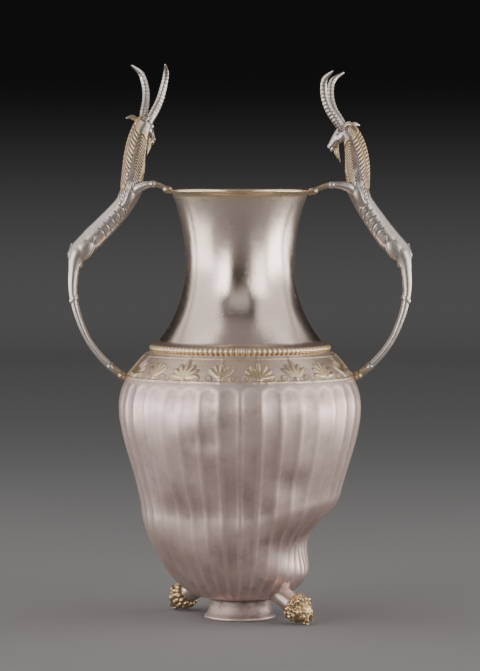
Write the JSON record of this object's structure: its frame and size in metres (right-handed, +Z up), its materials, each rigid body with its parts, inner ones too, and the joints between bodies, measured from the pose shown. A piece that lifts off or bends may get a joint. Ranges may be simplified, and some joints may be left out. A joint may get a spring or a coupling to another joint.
{
  "type": "amphora rhyton",
  "caption": "Silver wine vessel: fluted egg-shaped body on a small foot, flaring neck, rearing ibex handles and gilded lion-head spouts low on the body.",
  "frame": {"origin": "centre of the flat underside of the foot, on the vessel's axis", "axes": "+Z up along the vessel's axis, +X from the axis towards the right handle as seen from the front, -Y towards the front"},
  "size_m": [0.216, 0.1526, 0.3497],
  "materials": {
    "silver": "worn silver, softly polished and lightly tarnished",
    "cast_silver": "cast silver, satin",
    "gilding": "worn fire gilding over silver"
  },
  "bodies": {
    "root": {"vessel": "silver", "spout_right": "gilding", "spout_left": "gilding", "handle_right": "cast_silver", "handle_left": "cast_silver"}
  },
  "joints": []
}
